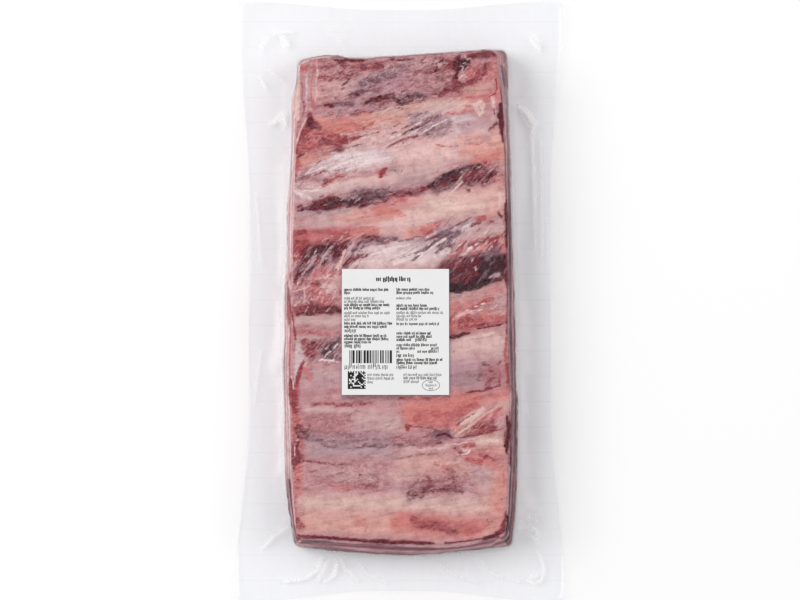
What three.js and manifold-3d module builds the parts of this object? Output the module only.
// A rack of beef ribs in a clear vacuum bag, lying flat with its bone side up.
// The bag clings to the rack, so the two are one closed solid: a thick slab with sloping walls
// and low ridges over the ribs, and round it the flat margin where the bag's two sheets meet.
// A paper label lies on top. Sizes are in millimetres, +Z is up, +Y runs along the rack,
// and the origin is on the table under the middle of the bag.
import * as THREE from "three";
import { mergeVertices } from "three/addons/utils/BufferGeometryUtils.js";
import Module from "manifold-3d";

const { lerp, smoothstep } = THREE.MathUtils;

// The bag, with every side drawn in between its corners
const BAG_WIDTH = 187.4;
const BAG_LENGTH = 345;
const BAG_WAIST = { left: 6.7, right: 7.2, head: 4.9, foot: 5.9 };
const BAG_CORNER_RADIUS = 3;
const SHEETS_THICKNESS = 0.8;

// The rack's uneven outlines, low down at its belly and at the rim of its face: for each side
// a list of places, from -1 to 1 along the side, with the side's x or y there
const BELLY_OUTLINE = {
  left: [
    [-1, -60.2], [-0.95, -61.6], [-0.85, -64.2], [-0.75, -65.8], [-0.6, -66.5], [-0.45, -66.6],
    [-0.34, -67.4], [-0.24, -67.6], [-0.14, -66.4], [-0.03, -67], [0.07, -66.4], [0.17, -65.1],
    [0.28, -65.4], [0.38, -65.4], [0.48, -63.8], [0.6, -63], [0.7, -62.6], [0.83, -62.6],
    [0.9, -60], [1, -58.8],
  ],
  right: [
    [-1, 64.2], [-0.92, 65.8], [-0.85, 66.6], [-0.75, 67.3], [-0.6, 67.7], [-0.41, 68],
    [-0.35, 66.9], [-0.2, 66.8], [0, 66.1], [0.2, 65.2], [0.35, 64.6], [0.5, 64.2],
    [0.8, 62.7], [0.94, 62.5], [1, 61.5],
  ],
  head: [
    [-1, 138], [-0.85, 139.9], [-0.75, 140.9], [-0.62, 140.9], [-0.52, 139.2], [-0.35, 139.1],
    [-0.2, 139.9], [0, 140.3], [0.3, 141.7], [0.5, 142.5], [0.7, 143.2], [0.85, 143.9],
    [1, 143.4],
  ],
  foot: [
    [-1, -141.2], [-0.85, -142.6], [-0.7, -143.8], [-0.5, -144.8], [-0.2, -146.1], [0.1, -146.6],
    [0.3, -145.8], [0.5, -144.7], [0.7, -143.4], [0.85, -142.2], [1, -141.4],
  ],
};
const FACE_OUTLINE = {
  left: [
    [-1, -58], [-0.85, -59.2], [-0.7, -60.2], [-0.5, -61], [-0.3, -61.3], [-0.1, -61],
    [0.1, -60.6], [0.3, -60.2], [0.5, -59.5], [0.7, -58.6], [0.85, -58], [1, -56.5],
  ],
  right: [
    [-1, 58.8], [-0.9, 59.6], [-0.75, 60.3], [-0.6, 60.9], [-0.45, 61.6], [-0.3, 60.8], [-0.1, 60],
    [0.2, 59.8], [0.4, 59.5], [0.6, 58.8], [0.72, 58], [0.82, 56.8], [0.92, 55], [1, 54.2],
  ],
  head: [
    [-1, 134], [-0.85, 135.2], [-0.75, 136], [-0.62, 136.2], [-0.5, 135.2], [-0.35, 134.9],
    [-0.2, 135.8], [0, 136.4], [0.3, 137.5], [0.5, 138], [0.7, 139], [0.85, 139.8], [1, 139.4],
  ],
  foot: [
    [-1, -134.9], [-0.9, -135], [-0.7, -135.6], [-0.5, -136.6], [-0.25, -137.8], [0, -138.4],
    [0.2, -138.8], [0.35, -138.8], [0.5, -138.2], [0.65, -137.2], [0.8, -135.6], [0.9, -134], [1, -132.4],
  ],
};
const RACK_HALF_WIDTH = 67;
const RACK_HALF_LENGTH = 145;
const RACK_CORNER_RADIUS = 3;

// The rack's walls, from the face down: a rounded shoulder, a slope, a straight belly and a toe
const SHOULDER = { share: 0.46, down: 5 };
const BELLY = { top: 8, bottom: 2.6 };
const TOE_INSET = 2.2;

// The bone side: ribs that slant near the head and lie straight near the foot
const FACE_HEIGHT = 28.6;
const RIBS = [
  { at: 127, slope: 0.14, rise: 1.2 },
  { at: 100, slope: 0.2, rise: 2 },
  { at: 71, slope: 0.18, rise: 1.6 },
  { at: 44, slope: 0.1, rise: 2.3 },
  { at: -2, slope: 0.08, rise: 2 },
  { at: -39, slope: 0.1, rise: 2.1 },
  { at: -69, slope: 0.02, rise: 1.8 },
  { at: -96, slope: 0, rise: 1.3 },
  { at: -121, slope: 0, rise: 2 },
];
const RIB_HALF_WIDTH = 11;

// The margin, from its root inside the rack down to its wavy edge on the table
const MARGIN_ROOT_INSET = 7;
const SEAM_HEIGHT = 6.5;
const EDGE_HEIGHT = 1.3;
const MARGIN_STEEPNESS = 2.2;
const EDGE_WAVE = { height: 0.8, count: 11 };
const CORNER_LIFT = 2.4;

// The label, on a level seat that fades into the ribs round it
const LABEL = { width: 60.4, length: 71, thickness: 0.3, cornerRadius: 0.4, x: -2.55, y: -19.6 };
const SEAT = { height: 30.6, fade: 9 };
const GAP = 0.3;

// How finely the surfaces are divided, with the grid drawn together by a share towards its corners
const CELLS = { across: 22, along: 46 };
const GRID_GATHERING = 0.45;
const SHOULDER_ROWS = 3;
const SLOPE_ROWS = 3;
const TOE_ROWS = 2;
const MARGIN_ROWS = 6;

// A square from -1 to 1 with its corners rounded to the given radii
function roundCorners(u, v, radiusU, radiusV) {
  const p = Math.max(0, (Math.abs(u) - 1 + radiusU) / radiusU);
  const q = Math.max(0, (Math.abs(v) - 1 + radiusV) / radiusV);
  if (p === 0 || q === 0) return [u, v];
  return [
    Math.sign(u) * (1 - radiusU + radiusU * p * Math.sqrt(1 - (q * q) / 2)),
    Math.sign(v) * (1 - radiusV + radiusV * q * Math.sqrt(1 - (p * p) / 2)),
  ];
}

// The value that a list of [place, value] pairs has at a place between them
function valueAt(pairs, place) {
  const next = Math.max(1, pairs.findIndex(([at]) => at >= Math.min(place, 1)));
  const [[from, low], [to, high]] = [pairs[next - 1], pairs[next]];
  return lerp(low, high, (place - from) / (to - from));
}

// The point u across and v along on a level of the rack, whose outline goes from the belly's
// at share 0 to the face's at share 1 and is then drawn in by inset
function rackPoint(u, v, share, inset = 0) {
  const radiusU = RACK_CORNER_RADIUS / RACK_HALF_WIDTH;
  const radiusV = RACK_CORNER_RADIUS / RACK_HALF_LENGTH;
  const [s, t] = roundCorners(u, v, radiusU, radiusV);
  const side = (name, place) => {
    const belly = valueAt(BELLY_OUTLINE[name], place);
    return lerp(belly, valueAt(FACE_OUTLINE[name], place), share);
  };
  const x = lerp(side("left", t) + inset, side("right", t) - inset, (s + 1) / 2);
  const y = lerp(side("foot", s) + inset, side("head", s) - inset, (t + 1) / 2);
  return [x, y];
}

function bagPoint(u, v) {
  const halfWidth = BAG_WIDTH / 2;
  const halfLength = BAG_LENGTH / 2;
  const [s, t] = roundCorners(u, v, BAG_CORNER_RADIUS / halfWidth, BAG_CORNER_RADIUS / halfLength);
  const sideWaist = 1 - smoothstep(Math.abs(t), 0.35, 0.95);
  const endWaist = 1 - smoothstep(Math.abs(s), 0.15, 0.9);
  const left = -halfWidth + BAG_WAIST.left * sideWaist;
  const right = halfWidth - BAG_WAIST.right * sideWaist;
  const head = halfLength - BAG_WAIST.head * endWaist;
  const foot = -halfLength + BAG_WAIST.foot * endWaist;
  return [lerp(left, right, (s + 1) / 2), lerp(foot, head, (t + 1) / 2)];
}

function faceHeight(x, y) {
  const ridge = (rib) => rib.rise * Math.exp(-(((y - rib.at - rib.slope * x) / RIB_HALF_WIDTH) ** 2));
  const ribbed = RIBS.reduce((height, rib) => height + ridge(rib), FACE_HEIGHT);
  const outX = Math.max(0, Math.abs(x - LABEL.x) - LABEL.width / 2);
  const outY = Math.max(0, Math.abs(y - LABEL.y) - LABEL.length / 2);
  return lerp(SEAT.height, ribbed, smoothstep(Math.hypot(outX, outY), 0, SEAT.fade));
}

// The place from -1 to 1 of line k of a grid with count cells
function gridPlace(k, count) {
  const place = (2 * k) / count - 1;
  return lerp(place, Math.sin((place * Math.PI) / 2), GRID_GATHERING);
}

// The places u, v of a grid's rim, anticlockwise from its low corner
function rimPlaces() {
  const { across, along } = CELLS;
  const rim = [];
  for (let i = 0; i < across; i++) rim.push([i, 0]);
  for (let j = 0; j < along; j++) rim.push([across, j]);
  for (let i = across; i > 0; i--) rim.push([i, along]);
  for (let j = along; j > 0; j--) rim.push([0, j]);
  return rim.map(([i, j]) => ({ i, j, u: gridPlace(i, across), v: gridPlace(j, along) }));
}

// Triangles of the band between two closed rings, facing away from the side the second lies on
function bandBetween(outer, inner) {
  return outer.flatMap((a, k) => {
    const next = (k + 1) % outer.length;
    return [a, outer[next], inner[next], a, inner[next], inner[k]];
  });
}

function geometryOf(points, triangles) {
  const geometry = new THREE.BufferGeometry();
  geometry.setAttribute("position", new THREE.Float32BufferAttribute(points.flat(), 3));
  geometry.setIndex(triangles);
  return geometry;
}

// The levels of the rack's wall below the face, each with its share of the face's outline, its inset
// and its height under a face point
function wallLevels() {
  const levels = [];
  for (let k = 1; k <= SHOULDER_ROWS; k++) {
    const turn = (k / SHOULDER_ROWS) * (Math.PI / 2);
    const drop = SHOULDER.down * (1 - Math.cos(turn));
    levels.push({ share: 1 - SHOULDER.share * Math.sin(turn), inset: 0, height: (top) => top - drop });
  }
  for (let k = 1; k <= SLOPE_ROWS; k++) {
    const down = k / SLOPE_ROWS;
    const share = (1 - SHOULDER.share) * (1 - Math.sin((down * Math.PI) / 2));
    levels.push({ share, inset: 0, height: (top) => lerp(top - SHOULDER.down, BELLY.top, down) });
  }
  for (let k = 0; k <= TOE_ROWS; k++) {
    const turn = (k / TOE_ROWS) * (Math.PI / 2);
    const height = k < TOE_ROWS ? BELLY.bottom * (1 - Math.sin(turn)) : 0;
    levels.push({ share: 0, inset: TOE_INSET * (1 - Math.cos(turn)), height: () => height });
  }
  return levels;
}

// The rack: its ribbed face as a grid, its wall as bands down to the table, and a flat underside
function rackGeometry() {
  const { across, along } = CELLS;
  const points = [];
  const triangles = [];
  for (let j = 0; j <= along; j++)
    for (let i = 0; i <= across; i++) {
      const [x, y] = rackPoint(gridPlace(i, across), gridPlace(j, along), 1);
      points.push([x, y, faceHeight(x, y)]);
    }
  for (let j = 0; j < along; j++)
    for (let i = 0; i < across; i++) {
      const a = j * (across + 1) + i;
      const d = a + across + 1;
      triangles.push(a, a + 1, d + 1, a, d + 1, d);
    }
  const rim = rimPlaces();
  const faceRim = rim.map(({ i, j }) => j * (across + 1) + i);
  let above = faceRim;
  for (const level of wallLevels()) {
    const below = rim.map((_, k) => points.length + k);
    rim.forEach(({ u, v }, k) => {
      points.push([...rackPoint(u, v, level.share, level.inset), level.height(points[faceRim[k]][2])]);
    });
    triangles.push(...bandBetween(below, above));
    above = below;
  }
  const underside = above.map((k) => new THREE.Vector2(points[k][0], points[k][1]));
  for (const [a, b, c] of THREE.ShapeUtils.triangulateShape(underside, []))
    triangles.push(above[a], above[c], above[b]);
  return geometryOf(points, triangles);
}

// The height of the margin's middle, where out runs from 0 at its root to 1 at its edge
function marginHeight(u, v, out) {
  const wave = EDGE_WAVE.height * Math.sin(EDGE_WAVE.count * Math.atan2(v, u));
  const lift = CORNER_LIFT * smoothstep(Math.abs(u * v), 0.8, 1);
  return lerp(EDGE_HEIGHT, SEAM_HEIGHT, (1 - out) ** MARGIN_STEEPNESS) + (wave + lift) * out * out;
}

// The margin: a frame of two pressed sheets, closed over its edge and over its root in the rack
function marginGeometry() {
  const rim = rimPlaces();
  const points = [];
  const rings = [];
  const addRing = (out, side) => {
    rings.push(rim.map((_, k) => points.length + k));
    for (const { u, v } of rim) {
      const [x0, y0] = rackPoint(u, v, 0, MARGIN_ROOT_INSET);
      const [x1, y1] = bagPoint(u, v);
      const z = marginHeight(u, v, out) + (side * SHEETS_THICKNESS) / 2;
      points.push([lerp(x0, x1, out), lerp(y0, y1, out), z]);
    }
  };
  for (let k = MARGIN_ROWS; k >= 0; k--) addRing(k / MARGIN_ROWS, 1);
  for (let k = 0; k <= MARGIN_ROWS; k++) addRing(k / MARGIN_ROWS, -1);
  const triangles = rings.flatMap((ring, k) => bandBetween(ring, rings[(k + 1) % rings.length]));
  return geometryOf(points, triangles);
}

function labelGeometry() {
  const { width, length, thickness, cornerRadius } = LABEL;
  const x = width / 2 - cornerRadius;
  const y = length / 2 - cornerRadius;
  const shape = new THREE.Shape();
  shape.absarc(x, -y, cornerRadius, -Math.PI / 2, 0, false);
  shape.absarc(x, y, cornerRadius, 0, Math.PI / 2, false);
  shape.absarc(-x, y, cornerRadius, Math.PI / 2, Math.PI, false);
  shape.absarc(-x, -y, cornerRadius, Math.PI, 1.5 * Math.PI, false);
  return new THREE.ExtrudeGeometry(shape, { depth: thickness, bevelEnabled: false, curveSegments: 3 });
}

const wasm = await Module();
wasm.setup();

function toSolid(geometry) {
  const merged = mergeVertices(geometry, 1e-3);
  return new wasm.Manifold(
    new wasm.Mesh({
      numProp: 3,
      vertProperties: merged.attributes.position.array,
      triVerts: new Uint32Array(merged.index.array),
    }),
  );
}

function fromSolid(solid) {
  const { vertProperties, triVerts } = solid.getMesh();
  const geometry = new THREE.BufferGeometry();
  geometry.setAttribute("position", new THREE.BufferAttribute(vertProperties, 3));
  geometry.setIndex(new THREE.BufferAttribute(triVerts, 1));
  geometry.computeVertexNormals();
  return geometry;
}

const meatUnderFilm = new THREE.MeshStandardMaterial({ color: 0xc79792, roughness: 0.2, metalness: 0 });
const paper = new THREE.MeshStandardMaterial({ color: 0xeeeeee, roughness: 0.6, metalness: 0 });

const closedBag = toSolid(rackGeometry()).add(toSolid(marginGeometry()));
const bag = new THREE.Mesh(fromSolid(closedBag), meatUnderFilm);
bag.name = "vacuum_bag";

const label = new THREE.Mesh(labelGeometry(), paper);
label.name = "label";
label.position.set(LABEL.x, LABEL.y, SEAT.height + GAP);

const pack = new THREE.Group();
pack.add(bag, label);

export default pack;
